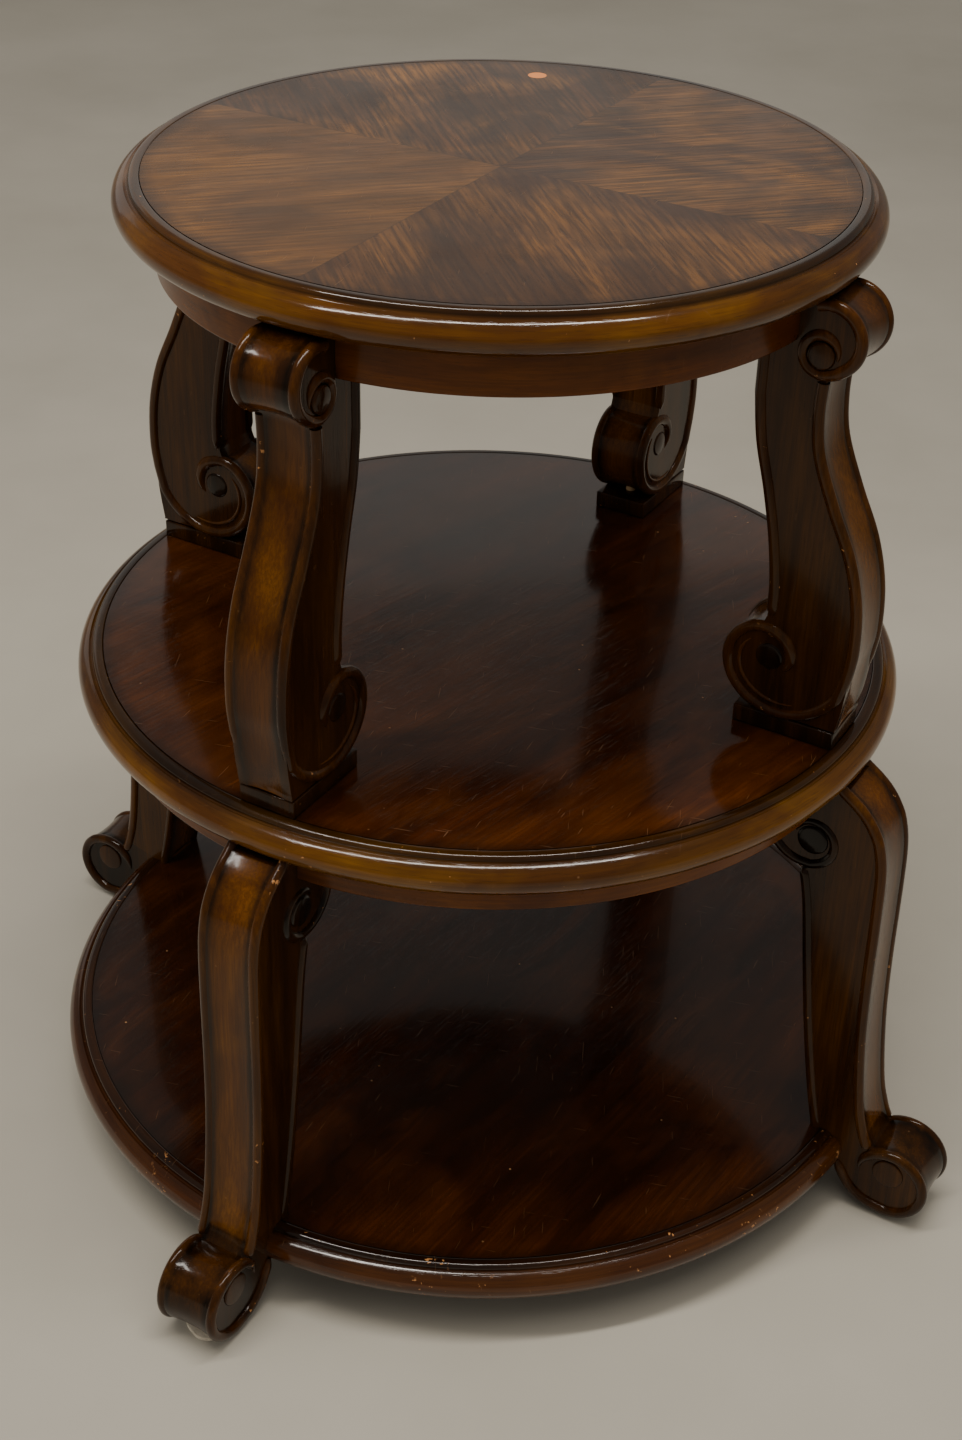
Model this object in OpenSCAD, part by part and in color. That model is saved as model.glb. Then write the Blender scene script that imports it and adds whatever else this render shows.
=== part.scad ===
// Tiered round side table: a top and two shelves with moulded rims, held by four scroll
// legs above the middle shelf and four scroll-footed legs below it.
// Origin on the floor under the centre, +Z up, front towards -Y, legs on the diagonals.

/* [Tiers] */
// Diameter of the top
top_d = 508; // [420:2:620]
// Diameter of the middle shelf
middle_d = 604; // [500:2:730]
// Diameter of the bottom shelf
bottom_d = 670; // [556:2:810]
// Height of the top's surface above the floor
top_h = 744; // [616:1:900]
// Height of the middle shelf's surface
middle_h = 397; // [330:1:480]
// Height of the bottom shelf's surface
bottom_h = 63; // [60:1:76]

/* [Edge moulding] */
// Height of the half-round edge of each tier
bullnose_h = 24; // [20:0.5:30]
// Radius of the small bead between the edge and the field
bead_r = 3.5; // [2:0.5:5]
// Width of the flat strip between the bead and the veneered field
strip_w = 4.5; // [2:0.5:8]
// Depth of the tongue that joins each board to its rim
tongue_w = 5; // [3:0.5:6]
// Thickness of that tongue
tongue_t = 6; // [4:0.5:8]

/* [Aprons and rails] */
// How far the apron's face sits in from the inner edge of the top's rim
apron_inset = 7; // [3:1:20]
// Thickness of the apron
apron_t = 20; // [14:1:26]
// Height of the apron
apron_h = 33; // [24:1:48]
// How far the rail's face sits in from the inner edge of the middle shelf's rim
rail_inset = 1; // [1:1:10]
// Thickness of the rail
rail_t = 18; // [12:1:24]
// Height of the rail
rail_h = 22; // [16:1:30]

/* [Upper legs] */
// Width of the upper legs across their front face
upper_w = 47; // [36:1:60]
// Width of the roll at the top of each leg
roll_w = 49; // [38:1:64]
// Height of the block under each lower scroll
plinth_h = 13; // [11:1:18]
// Width of that block
plinth_w = 43; // [30:1:54]

/* [Lower legs] */
// Width of the lower legs across their front face
lower_w = 48; // [40:1:62]
// Width of the foot scroll
foot_w = 50; // [42:1:66]
// How deep the bottom shelf's rim is cut to pass each leg
rim_notch = 8; // [5:0.5:12]
// Thickness of the felt pad under each foot
pad_t = 3; // [2:0.5:5]
// Diameter of the felt pad
pad_d = 34; // [24:1:40]

/* [Joinery] */
// Length of the corner block behind each upper leg
block_w = 88; // [60:1:100]
// Depth of the corner block, from the leg inwards
block_d = 21; // [16:1:30]
// Diameter of the hanger bolts and of the rods through the middle shelf
bolt_d = 8; // [6:0.5:10]
// Diameter of the wooden dowels
dowel_d = 8; // [6:0.5:10]
// Length of the wooden dowels
dowel_l = 30; // [20:1:40]
// Diameter of the screws that hold the top
screw_d = 4.5; // [3.5:0.5:6]

/* [Hidden] */

$fn = 96;
gap = 0.15;             // clearance round every dowel, bolt and nail, and between boards and rims
over = 1;               // overshoot of cuts
steps = 6;              // straight pieces between two points of a curved outline

// directions of the four corners, and of the four sides between them
fl = 225;
fr = 315;
br = 45;
bl = 135;
front = 270;
right = 0;
back = 90;
left = 180;
corners = [fl, fr, br, bl];
sides = [front, right, back, left];

top_r = top_d / 2;
middle_r = middle_d / 2;
bottom_r = bottom_d / 2;
nose_r = bullnose_h / 2;
rim_h = bead_r + bullnose_h;            // full thickness of a tier
rim_w = nose_r + bead_r + strip_w - 1;  // width of a rim, from its edge to the field

top_under = top_h - rim_h;
middle_under = middle_h - rim_h;
bottom_under = bottom_h - rim_h;

apron_r = top_r - rim_w - apron_inset;
rail_r = middle_r - rim_w - rail_inset;

// ---- outlines of the legs, drawn in a plane through the table's axis: x outwards, y up ----

function mix(a, b, t) = a + (b - a) * t;

// point at t between p1 and p2 on a smooth curve through four points
function smooth_at(p0, p1, p2, p3, t) =
    0.5 * (2 * p1 + (p2 - p0) * t + (2 * p0 - 5 * p1 + 4 * p2 - p3) * t * t
           + (3 * p1 - p0 - 3 * p2 + p3) * t * t * t);

// smooth curve through all points of p
function smooth(p) =
    [for (i = [0 : len(p) - 2]) for (k = [0 : steps - 1])
        smooth_at(p[max(i - 1, 0)], p[i], p[i + 1], p[min(i + 2, len(p) - 1)], k / steps),
     p[len(p) - 1]];

// round or spiral arc about c, from angle a0 with radius r0 to angle a1 with radius r1
function scroll(c, r0, r1, a0, a1, n) =
    [for (i = [0 : n]) let (t = i / n, a = mix(a0, a1, t), r = r0 * pow(r1 / r0, t))
        c + r * [cos(a), sin(a)]];

// points that follow the line from eye a to eye b: each is [share of the way, offset outwards]
function beside(a, b, pts) = [for (p = pts) [mix(a[0], b[0], p[0]) + p[1], mix(a[1], b[1], p[0])]];

// Upper leg: eyes of its two scrolls
roll_eye = [apron_r + 15.5, top_under - 39.5];
roll_c = roll_eye + [3, 11.5];          // centre of the roll's outer round
roll_r = 26.5;
block_top = middle_h + plinth_h;        // the leg stands on its block here
block_back = middle_r - 93;             // the block's two ends
block_front = middle_r - 17;
volute_eye = [middle_r - 71, block_top + 45];
volute_r0 = 59;                         // spiral radius where the front edge runs into it
volute_r1 = 26.6;                       // and where it meets the inner edge
volute_a0 = -15;
volute_a1 = -253;
volute_base = -94;                      // direction in which the spiral reaches the block

function volute_r(a) =
    volute_r0 * pow(volute_r1 / volute_r0, (a - volute_a0) / (volute_a1 - volute_a0));

upper_back = apron_r - 26.5;            // inner face of the leg behind the apron

upper_front_edge = beside(volute_eye, roll_eye,
    [[0, 60], [0.1, 61.3], [0.25, 57.3], [0.4, 46.7], [0.55, 29.3], [0.7, 14.1], [0.82, 9],
     [0.92, 8.4]]);
upper_back_edge = beside(volute_eye, roll_eye,
    [[0.85, -40.2], [0.7, -34.2], [0.55, -23.9], [0.4, -15.1], [0.25, -9], [0.14, -7.6]]);

upper_outline = concat(
    [[upper_back, top_under], [upper_back, roll_eye[1] - 6]],
    smooth(upper_back_edge),
    scroll(volute_eye, volute_r1, volute_r(volute_base), volute_a1 + 360, volute_base + 360, 34),
    // the front runs on down to the block outside the scroll
    smooth(concat([[block_front, block_top], [block_front + 3.6, block_top + 22]],
                  upper_front_edge)),
    [roll_c, [roll_c[0], top_under]]);  // the roll is a round of its own

// Lower leg: eyes of the small scroll under the shelf and of the foot
ear_eye = [middle_r - 23, middle_under - 49.5];
ear_c = ear_eye + [-4, 8];
ear_r = 33;
foot_eye = [bottom_r + 38, pad_t + 42];
foot_c = foot_eye + [-0.5, -10.5];
foot_r = 31.5;
sole_z = foot_c[1] - foot_r;            // underside of the foot, on top of the pad
ledge_r = bottom_r - rim_notch;         // back wall of the notch that holds the bottom shelf
shoulder_r = middle_r - 2;              // where the shoulder leaves the shelf's underside

lower_front_edge = concat(
    [[shoulder_r, middle_under], [shoulder_r + 10, middle_under - 7],
     [shoulder_r + 18, middle_under - 14.5], [shoulder_r + 25, middle_under - 24],
     [shoulder_r + 31, middle_under - 37]],
    beside(foot_eye, ear_eye, [[0.96, 52.4], [0.8, 38.6], [0.6, 20.4], [0.4, 3.8], [0.2, -9.2],
     [0.1, -11.8], [0.06, -10.5]]));
lower_back_edge = beside(foot_eye, ear_eye,
    [[0.05, -61.5], [0.2, -55.7], [0.4, -45.6], [0.6, -33.8], [0.8, -21.5], [0.9, -17.5]]);

lower_outline = concat(
    smooth(lower_front_edge),
    [foot_c],                           // the foot is a round of its own
    smooth([[foot_c[0], sole_z + 0.5], [foot_c[0] - 20, sole_z + 3.5],
            [foot_c[0] - 34, sole_z + 14], [ledge_r, bottom_under]]),
    [[foot_eye[0] - 66, bottom_under], [foot_eye[0] - 66, bottom_h]],
    smooth(lower_back_edge),
    scroll(ear_c, ear_r, ear_r, -85, -205, 16),
    [[ear_c[0] - 30, middle_under]]);

// ---- helpers ----

// extrudes an outline drawn outwards and up, w wide, towards direction a
module standing(a, w) {
    rotate([0, 0, a]) rotate([90, 0, 0]) linear_extrude(w, center = true) children();
}

// rod of diameter d from distance r0 to r1, at height z, across offset s
module radial_rod(a, d, r0, r1, z, s = 0) {
    rotate([0, 0, a]) translate([r0, s, z]) rotate([0, 90, 0]) cylinder(d = d, h = r1 - r0);
}

module upright_rod(a, d, r, z0, z1, s = 0) {
    rotate([0, 0, a]) translate([r, s, z0]) cylinder(d = d, h = z1 - z0);
}

// rod across the corner's direction, from offset s0 to s1
module cross_rod(a, d, r, z, s0, s1) {
    rotate([0, 0, a]) translate([r, s0, z]) rotate([-90, 0, 0]) cylinder(d = d, h = s1 - s0);
}

// ---- tiers ----

// the board inside a rim: radius r and surface height z
module board(r, z) {
    field = r - rim_w;
    difference() {
        union() {
            translate([0, 0, z - rim_h]) cylinder(r = field - gap, h = rim_h);
            translate([0, 0, z - rim_h / 2 - tongue_t / 2])
                cylinder(r = field + tongue_w - 0.5, h = tongue_t);
        }
        children();
    }
}

// the moulded edge: bead at the field, quirk, then a full half-round
module rim(r, z) {
    field = r - rim_w;
    translate([0, 0, z - rim_h]) rotate_extrude($fn = 180) difference() {
        union() {
            translate([r - nose_r, nose_r]) circle(r = nose_r, $fn = 64);
            translate([field, 0]) square([r - nose_r - field, bullnose_h]);
            translate([field, bullnose_h - over]) square([strip_w, bead_r + over]);
            translate([field + strip_w, bullnose_h]) circle(r = bead_r, $fn = 32);
        }
        translate([field - over, rim_h / 2 - tongue_t / 2 - gap])
            square([tongue_w + over, tongue_t + 2 * gap]);
        // the round is cut off where the board begins
        translate([field - bullnose_h, -over]) square([bullnose_h, rim_h + 2 * over]);
    }
}

// ---- the sets of rods, dowels and screws; grow widens and lengthens them into their bores ----

rod_r = middle_r - 46;                  // rods stand where upper and lower legs overlap
rod_up = 58;                            // reach of a rod above the shelf's surface
rod_down = 40;                          // and below its underside
plinth_dowel_r = middle_r - 74;
plinth_dowel_up = plinth_h + 14;

module leg_rod_set(grow) {
    for (a = corners)
        upright_rod(a, bolt_d + grow, rod_r, middle_under - rod_down - grow,
                    middle_h + rod_up + grow);
}

module plinth_dowel_set(grow) {
    for (a = corners)
        upright_rod(a, dowel_d + grow, plinth_dowel_r, middle_h - dowel_l / 2 - grow,
                    middle_h + plinth_dowel_up + grow);
}

// dowels from the back wall of each lower leg's notch into the bottom shelf
module shelf_dowel_set(grow) {
    for (a = corners) for (s = [-1, 1])
        radial_rod(a, dowel_d + grow, ledge_r - dowel_l * 0.6 - grow,
                   ledge_r + dowel_l * 0.4 + grow, bottom_h - rim_h / 2, s * lower_w / 4);
}

block_h = apron_h - 4;
block_r = upper_back - block_d / 2;
hanger_z = top_under - block_h / 2;
screw_reach = 16;                       // how far a block's screw enters the top

module block_screw_set(grow) {
    for (a = corners) for (s = [-1, 1]) {
        upright_rod(a, 2 * screw_d + grow, block_r, top_under - block_h,
                    top_under - block_h + 3, s * block_w / 3);
        upright_rod(a, screw_d + grow, block_r, top_under - block_h,
                    top_under + screw_reach + grow, s * block_w / 3);
    }
}

// dowels across both ends of every apron
module apron_dowel_set(grow) {
    for (a = corners) for (s = [-1, 1]) for (k = [0.3, 0.7])
        cross_rod(a, dowel_d + grow, apron_r - apron_t / 2 - 1, top_under - apron_h * k,
                  s * upper_w / 2 - dowel_l / 2 - grow, s * upper_w / 2 + dowel_l / 2 + grow);
}

module rail_dowel_set(grow) {
    for (a = corners) for (s = [-1, 1])
        cross_rod(a, dowel_d + grow, rail_r - rail_t / 2 - 1, middle_under - rail_h / 2,
                  s * lower_w / 2 - dowel_l / 2 - grow, s * lower_w / 2 + dowel_l / 2 + grow);
}

module top_panel() color("#5a3418") board(top_r, top_h) block_screw_set(2 * gap);

module top_rim() color("#6b3d16") rim(top_r, top_h);

module middle_panel() color("#4a2812") board(middle_r, middle_h) {
    leg_rod_set(2 * gap);
    plinth_dowel_set(2 * gap);
}

module middle_rim() color("#6b3d16") rim(middle_r, middle_h);

// square recesses in the bottom shelf, one for each leg
module leg_recesses(w) {
    for (a = corners) rotate([0, 0, a])
        translate([ledge_r, -w / 2, bottom_under - over]) cube([40, w, rim_h + 2 * over]);
}

module bottom_panel() color("#4a2812") board(bottom_r, bottom_h) shelf_dowel_set(2 * gap);

module bottom_rim() color("#6b3d16") difference() {
    rim(bottom_r, bottom_h);
    leg_recesses(lower_w + 2 * gap);
    shelf_dowel_set(2 * gap);
}

// ---- aprons and rails ----

// curved board between two legs, centred on direction a
module curved_board(a, r, t, z, h, leg_w) {
    difference() {
        rotate([0, 0, a - 45]) rotate_extrude(angle = 90, $fn = 180)
            translate([r - t, z]) square([t, h]);
        for (c = [a - 45, a + 45]) rotate([0, 0, c])
            translate([0, -leg_w / 2 - gap, z - over])
                cube([r + over, leg_w + 2 * gap, h + 2 * over]);
        children();
    }
}

module apron(a) color("#5c3313")
    curved_board(a, apron_r, apron_t, top_under - apron_h, apron_h, max(upper_w, roll_w))
        apron_dowel_set(2 * gap);

module rail(a) color("#4e2b12")
    curved_board(a, rail_r, rail_t, middle_under - rail_h, rail_h, lower_w)
        rail_dowel_set(2 * gap);

// ---- upper legs ----

hanger_reach = 30;                      // how far a hanger bolt enters the leg

module upper_leg(a) color("#5f3818") difference() {
    union() {
        standing(a, upper_w) polygon(upper_outline);
        // the roll at the top stands a little wider than the body
        standing(a, roll_w) translate(roll_c) circle(r = roll_r);
    }
    radial_rod(a, bolt_d + 2 * gap, upper_back - over, upper_back + hanger_reach + gap, hanger_z);
    apron_dowel_set(2 * gap);
    leg_rod_set(2 * gap);
    plinth_dowel_set(2 * gap);
}

module plinth(a) color("#3c2010") difference() {
    standing(a, plinth_w) difference() {
        translate([block_back, middle_h]) square([block_front - block_back, plinth_h]);
        polygon(upper_outline);
    }
    leg_rod_set(2 * gap);
    plinth_dowel_set(2 * gap);
}

// ---- lower legs ----

module lower_leg(a) color("#5f3818") difference() {
    union() {
        standing(a, lower_w) polygon(lower_outline);
        standing(a, foot_w) translate(foot_c) circle(r = foot_r);
    }
    // the shelf passes into the leg up to the notch's back wall
    rotate([0, 0, a]) translate([0, -foot_w, bottom_under - gap])
        cube([ledge_r + gap, 2 * foot_w, rim_h + 2 * gap]);
    rail_dowel_set(2 * gap);
    leg_rod_set(2 * gap);
    shelf_dowel_set(2 * gap);
    pad_nail_set(2 * gap);
}

module foot_pad(a) color("#d9cdb4") difference() {
    rotate([0, 0, a]) translate([foot_c[0], 0, 0]) cylinder(d = pad_d, h = pad_t);
    standing(a, 2 * foot_w) translate(foot_c) circle(r = foot_r);
    pad_nail_set(2 * gap);
}

// ---- fasteners ----

nail_d = 2;
nail_l = 18;
nail_z = 0.8;                           // a nail's head is sunk this far into the felt
nut_t = 6.5;
washer_t = 1.6;

module pad_nail_set(grow) {
    for (a = corners) {
        upright_rod(a, 4 * nail_d + grow, foot_c[0], nail_z, nail_z + 1);
        upright_rod(a, nail_d + grow, foot_c[0], nail_z, nail_l + grow);
    }
}

module corner_block(a) color("#b8905c") difference() {
    rotate([0, 0, a]) translate([upper_back - block_d, -block_w / 2, top_under - block_h])
        cube([block_d - gap, block_w, block_h]);
    radial_rod(a, bolt_d + 2 * gap, upper_back - block_d - over, upper_back + over, hanger_z);
    block_screw_set(2 * gap);
}

module hanger_bolts() color("#b9bcc0") for (a = corners)
    radial_rod(a, bolt_d, upper_back - block_d - washer_t - nut_t - 4,
               upper_back + hanger_reach, hanger_z);

module block_washers() color("#c8cacd") for (a = corners) difference() {
    radial_rod(a, 2.4 * bolt_d, upper_back - block_d - washer_t, upper_back - block_d, hanger_z);
    radial_rod(a, bolt_d + 2 * gap, upper_back - block_d - washer_t - over,
               upper_back - block_d + over, hanger_z);
}

module block_nuts() color("#aeb1b5") for (a = corners) difference() {
    rotate([0, 0, a]) translate([upper_back - block_d - washer_t - nut_t, 0, hanger_z])
        rotate([0, 90, 0]) cylinder(d = 1.8 * bolt_d, h = nut_t, $fn = 6);
    radial_rod(a, bolt_d + 2 * gap, upper_back - block_d - washer_t - nut_t - over,
               upper_back - block_d - washer_t + over, hanger_z);
}

module block_screws() color("#c9a24a") block_screw_set(0);

module apron_dowels() color("#d8b98a") apron_dowel_set(0);

module rail_dowels() color("#d8b98a") rail_dowel_set(0);

module leg_rods() color("#b9bcc0") leg_rod_set(0);

module plinth_dowels() color("#d8b98a") plinth_dowel_set(0);

module shelf_dowels() color("#d8b98a") shelf_dowel_set(0);

module pad_nails() color("#a9acb0") pad_nail_set(0);

// ---- what each node draws ----

top_panel();
top_rim();
apron(front);  // apron_front
apron(right);  // apron_right
apron(back);  // apron_back
apron(left);  // apron_left
upper_leg(fl);  // upper_leg_front_left
upper_leg(fr);  // upper_leg_front_right
upper_leg(br);  // upper_leg_back_right
upper_leg(bl);  // upper_leg_back_left
plinth(fl);  // plinth_front_left
plinth(fr);  // plinth_front_right
plinth(br);  // plinth_back_right
plinth(bl);  // plinth_back_left
middle_panel();
middle_rim();
rail(front);  // rail_front
rail(right);  // rail_right
rail(back);  // rail_back
rail(left);  // rail_left
lower_leg(fl);  // lower_leg_front_left
lower_leg(fr);  // lower_leg_front_right
lower_leg(br);  // lower_leg_back_right
lower_leg(bl);  // lower_leg_back_left
bottom_panel();
bottom_rim();
foot_pad(fl);  // foot_pad_front_left
foot_pad(fr);  // foot_pad_front_right
foot_pad(br);  // foot_pad_back_right
foot_pad(bl);  // foot_pad_back_left
corner_block(fl);  // corner_block_front_left
corner_block(fr);  // corner_block_front_right
corner_block(br);  // corner_block_back_right
corner_block(bl);  // corner_block_back_left
hanger_bolts();
block_washers();
block_nuts();
block_screws();
apron_dowels();
rail_dowels();
leg_rods();
plinth_dowels();
shelf_dowels();
pad_nails();
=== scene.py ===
import math

import bmesh
import bpy
from mathutils import Matrix, Vector


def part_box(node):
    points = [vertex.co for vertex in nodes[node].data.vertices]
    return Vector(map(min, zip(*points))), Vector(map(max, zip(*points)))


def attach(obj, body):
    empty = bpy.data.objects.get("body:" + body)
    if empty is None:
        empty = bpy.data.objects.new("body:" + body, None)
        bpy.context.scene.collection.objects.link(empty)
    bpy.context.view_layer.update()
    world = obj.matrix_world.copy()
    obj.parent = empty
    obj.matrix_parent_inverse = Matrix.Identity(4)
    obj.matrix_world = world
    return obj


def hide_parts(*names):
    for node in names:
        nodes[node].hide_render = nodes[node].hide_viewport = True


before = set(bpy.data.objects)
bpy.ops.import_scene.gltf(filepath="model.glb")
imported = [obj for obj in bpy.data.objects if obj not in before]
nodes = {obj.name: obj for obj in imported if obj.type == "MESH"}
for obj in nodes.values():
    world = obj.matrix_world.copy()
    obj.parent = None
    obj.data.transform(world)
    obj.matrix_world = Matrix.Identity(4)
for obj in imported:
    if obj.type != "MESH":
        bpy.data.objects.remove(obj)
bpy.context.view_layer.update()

mm = 0.001
corners = {"front_left": 225, "front_right": 315, "back_right": 45, "back_left": 135}
sides = {"front": 270, "right": 0, "back": 90, "left": 180}


# node helpers

def addNode(tree, kind, inputs=None, **settings):
    node = tree.nodes.new(kind)
    for key, value in settings.items():
        setattr(node, key, value)
    for key, value in (inputs or {}).items():
        if isinstance(value, bpy.types.NodeSocket):
            tree.links.new(value, node.inputs[key])
        else:
            node.inputs[key].default_value = value
    return node


def calc(tree, operation, a, b=0.0, clamp=False):
    node = addNode(tree, "ShaderNodeMath", {0: a, 1: b}, operation=operation, use_clamp=clamp)
    return node.outputs[0]


def blendColour(tree, factor, a, b):
    node = addNode(tree, "ShaderNodeMix", {0: factor, 6: a, 7: b}, data_type="RGBA")
    return node.outputs[2]


def ramp(tree, value, low, high, toLow=0.0, toHigh=1.0):
    node = addNode(tree, "ShaderNodeMapRange",
                   {0: value, 1: low, 2: high, 3: toLow, 4: toHigh})
    return node.outputs[0]


def stretched(tree, vector, scale, detail=4.0, roughness=0.55, distortion=0.0, shift=(0, 0, 0)):
    mapped = addNode(tree, "ShaderNodeMapping",
                     {"Vector": vector, "Scale": scale, "Location": shift})
    noise = addNode(tree, "ShaderNodeTexNoise", {
        "Vector": mapped.outputs[0], "Scale": 1.0, "Detail": detail,
        "Roughness": roughness, "Distortion": distortion})
    return noise.outputs["Fac"]


def addBump(tree, shader, height, strength, distance):
    bump = addNode(tree, "ShaderNodeBump",
                   {"Height": height, "Strength": strength, "Distance": distance})
    tree.links.new(bump.outputs[0], shader.inputs["Normal"])


def fromAxis(tree, place):
    # distance from the upright line through the origin
    flat = addNode(tree, "ShaderNodeVectorMath", {0: place, 1: (1, 1, 0)}, operation="MULTIPLY")
    size = addNode(tree, "ShaderNodeVectorMath", {0: flat.outputs[0]}, operation="LENGTH")
    return size.outputs["Value"]


def newGroup(name, inputs, outputs):
    tree = bpy.data.node_groups.new(name, "ShaderNodeTree")
    for label, kind, value in inputs:
        socket = tree.interface.new_socket(label, in_out="INPUT", socket_type=kind)
        if value is not None:
            socket.default_value = value
    for label, kind in outputs:
        tree.interface.new_socket(label, in_out="OUTPUT", socket_type=kind)
    start, end = tree.nodes.new("NodeGroupInput"), tree.nodes.new("NodeGroupOutput")
    return tree, start.outputs, end.inputs


def useGroup(tree, group, inputs):
    node = tree.nodes.new("ShaderNodeGroup")
    node.node_tree = group
    for key, value in inputs.items():
        if isinstance(value, bpy.types.NodeSocket):
            tree.links.new(value, node.inputs[key])
        else:
            node.inputs[key].default_value = value
    return node.outputs


def colour(red, green, blue):  # screen values 0 to 255, made linear
    def linear(v):
        v /= 255
        return v / 12.92 if v <= 0.04045 else ((v + 0.055) / 1.055) ** 2.4
    return (linear(red), linear(green), linear(blue), 1.0)


# shared surface effects

def buildGrain():
    # grain space: x runs along the grain, y and z across it, in metres
    tree, gin, gout = newGroup(
        "woodGrain", [("Grain Space", "NodeSocketVector", None)],
        [("Streaks", "NodeSocketFloat"), ("Fibre", "NodeSocketFloat"),
         ("Pores", "NodeSocketFloat"), ("Mottle", "NodeSocketFloat")])
    space = gin["Grain Space"]
    link = tree.links.new
    link(stretched(tree, space, (4, 48, 48), 5, 0.6, 0.6), gout["Streaks"])
    link(stretched(tree, space, (16, 520, 520), 3, 0.6, 0.3), gout["Fibre"])
    pores = stretched(tree, space, (70, 1500, 1500), 2, 0.5, 0.0)
    link(ramp(tree, pores, 0.60, 0.70), gout["Pores"])
    link(stretched(tree, space, (7, 15, 15), 3, 0.55, 1.2), gout["Mottle"])
    return tree


def buildHollowShade():
    # painted shade from ambient occlusion: 1 deep in a groove or under an overhang, 0 in the open
    tree, gin, gout = newGroup(
        "paintedHollowShade",
        [("Reach", "NodeSocketFloat", 0.01), ("Sharpness", "NodeSocketFloat", 1.5)],
        [("Hollow", "NodeSocketFloat")])
    openAir = addNode(tree, "ShaderNodeAmbientOcclusion", {"Distance": gin["Reach"]}, samples=6)
    shut = calc(tree, "SUBTRACT", 1.0, openAir.outputs["AO"], clamp=True)
    deep = ramp(tree, shut, 0.18, 0.75)
    tree.links.new(calc(tree, "POWER", deep, gin["Sharpness"]), gout["Hollow"])
    return tree


def buildUse():
    # what years of use leave in a lacquer: hairline scratches, pale specks, uneven gloss
    tree, gin, gout = newGroup(
        "signsOfUse", [("Place", "NodeSocketVector", None)],
        [("Scratches", "NodeSocketFloat"), ("Specks", "NodeSocketFloat"),
         ("Haze", "NodeSocketFloat")])
    place = gin["Place"]
    marks = None
    for turn, shift in ((0.5, 0.0), (-0.9, 3.1), (1.9, 7.7)):
        turned = addNode(tree, "ShaderNodeMapping", {"Vector": place, "Rotation": (0, 0, turn)})
        lines = stretched(tree, turned.outputs[0], (38, 900, 90), 1, 0.4, 0.2, (shift, shift, 0))
        thin = ramp(tree, lines, 0.765, 0.80)
        marks = thin if marks is None else calc(tree, "MAXIMUM", marks, thin)
    tree.links.new(marks, gout["Scratches"])
    dots = addNode(tree, "ShaderNodeTexVoronoi",
                   {"Vector": place, "Scale": 62.0, "Randomness": 1.0})
    dot = ramp(tree, dots.outputs["Distance"], 0.035, 0.06, 1.0, 0.0)
    rare = ramp(tree, stretched(tree, place, (19, 19, 19), 2), 0.55, 0.62)
    tree.links.new(calc(tree, "MULTIPLY", dot, rare), gout["Specks"])
    tree.links.new(stretched(tree, place, (9, 9, 9), 4, 0.6, 0.5), gout["Haze"])
    return tree


def buildChips():
    # small bare places where the lacquer and stain are knocked off the crowns of beads
    tree, gin, gout = newGroup(
        "edgeChips", [("Place", "NodeSocketVector", None), ("Amount", "NodeSocketFloat", 0.3)],
        [("Bare", "NodeSocketFloat")])
    place = gin["Place"]
    pattern = stretched(tree, place, (230, 230, 230), 4, 0.6, 0.3)
    patches = stretched(tree, place, (22, 22, 22), 2, 0.5, 0.0, (4.2, 1.7, 0.4))
    limit = calc(tree, "SUBTRACT", 0.88, calc(tree, "MULTIPLY", gin["Amount"], patches))
    over = calc(tree, "SUBTRACT", pattern, limit)
    tree.links.new(ramp(tree, over, 0.0, 0.02), gout["Bare"])
    return tree


grainGroup = buildGrain()
hollowShadeGroup = buildHollowShade()
signsGroup = buildUse()
chipGroup = buildChips()


# grain directions

def joined(tree, x, y, z):
    return addNode(tree, "ShaderNodeCombineXYZ", {0: x, 1: y, 2: z}).outputs[0]


def uprightGrain(tree, place):
    parts = addNode(tree, "ShaderNodeSeparateXYZ", {0: place}).outputs
    return joined(tree, parts[2], parts[0], parts[1])


def ringGrain(tree, place):
    # along the grain is the way round the ring; both halves match where they meet
    parts = addNode(tree, "ShaderNodeSeparateXYZ", {0: place}).outputs
    angle = calc(tree, "ARCTAN2", parts[1], parts[0])
    meanRadius = 0.3
    along = calc(tree, "MULTIPLY", calc(tree, "ABSOLUTE", angle), meanRadius)
    return joined(tree, along, fromAxis(tree, place), parts[2])


def slantGrain(degrees):
    def build(tree, place):
        turn = (0, 0, -math.radians(degrees))
        mapped = addNode(tree, "ShaderNodeMapping", {"Vector": place, "Rotation": turn})
        return mapped.outputs[0]
    return build


def wedges(tree, place):
    # x, y, their sizes, and 1 in the left and right of four wedges that meet on the diagonals
    parts = addNode(tree, "ShaderNodeSeparateXYZ", {0: place}).outputs
    x, y = parts[0], parts[1]
    sizes = calc(tree, "ABSOLUTE", x), calc(tree, "ABSOLUTE", y)
    return x, y, sizes, calc(tree, "GREATER_THAN", *sizes)


def quarteredGrain(tree, place):
    # the grain of each wedge runs towards the centre
    x, y, _, sideWedge = wedges(tree, place)
    along = addNode(tree, "ShaderNodeMix", {0: sideWedge, 2: y, 3: x}).outputs[0]
    across = addNode(tree, "ShaderNodeMix", {0: sideWedge, 2: x, 3: y}).outputs[0]
    across = calc(tree, "MULTIPLY", across, 0.6)  # this veneer has a bolder figure
    apart = calc(tree, "MULTIPLY", sideWedge, 2.3)  # so that neighbours don't match
    return joined(tree, along, across, apart)


# lacquered wood

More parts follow.
